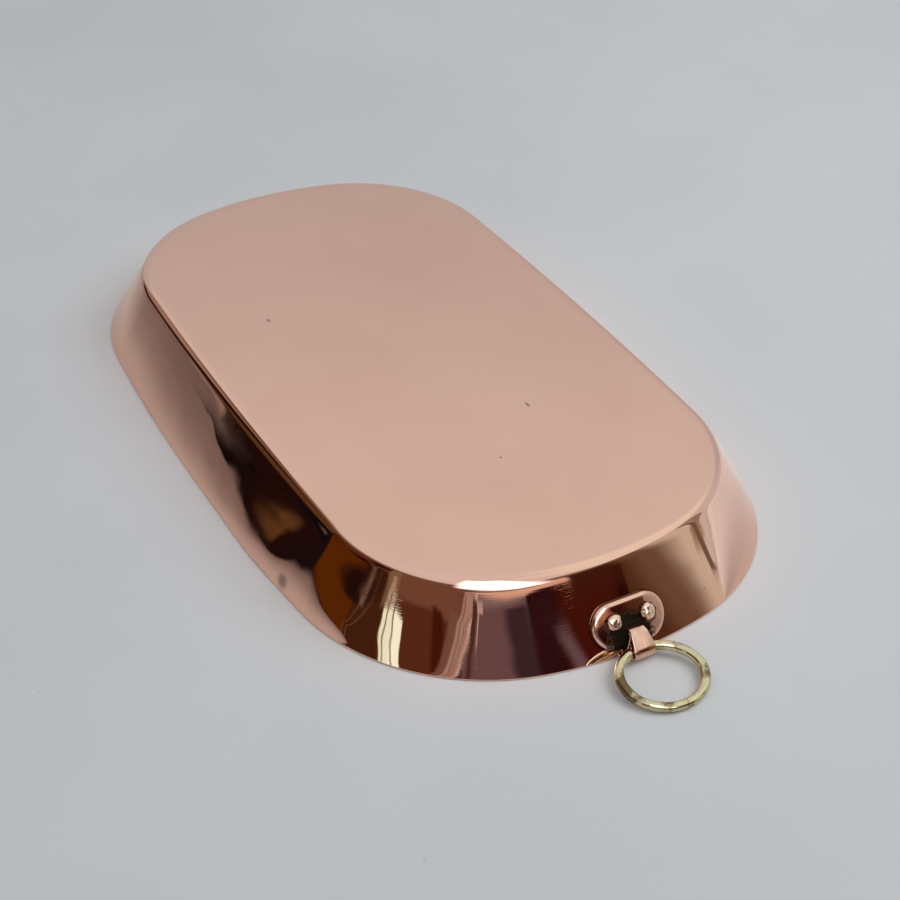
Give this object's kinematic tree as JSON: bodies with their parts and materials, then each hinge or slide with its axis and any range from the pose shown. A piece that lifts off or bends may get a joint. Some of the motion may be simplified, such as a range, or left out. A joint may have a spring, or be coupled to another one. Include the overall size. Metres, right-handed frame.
{
  "type": "copper gratin pan",
  "caption": "Shallow oblong gratin pan of tinned copper with flared walls, large round corners and a brass ring that hangs from a riveted end plate.",
  "frame": {"origin": "centre of the base's outer face; the pan lies mouth down, so its rim is 32.7 mm below", "axes": "+X to the end that carries the hanging ring, +Y across the pan, +Z out of the base's outer face, which is up in the stored attitude; turned half round about X the pan stands upright on this face"},
  "size_m": [0.3954, 0.2106, 0.0327],
  "materials": {
    "copper": "hand-polished copper, faint brushing and a few scratches",
    "tin": "wiped tin, soft satin",
    "lug_copper": "polished copper with dark tarnish in the corners",
    "brass": "old forged brass with brown tarnish"
  },
  "bodies": {
    "pan": {"pan_body": "copper", "tin_lining": "tin", "lug_plate": "lug_copper", "ring_strap": "lug_copper", "rivet_left": "lug_copper", "rivet_right": "lug_copper"},
    "ring": {"hanging_ring": "brass"}
  },
  "joints": [
    {"name": "ring_swing", "type": "hinge", "parent": "pan", "child": "ring", "pos_m": [0.1834, 0.0012, -0.02829], "axis": [0, -1, 0], "range_deg": [-103, 130]}
  ]
}
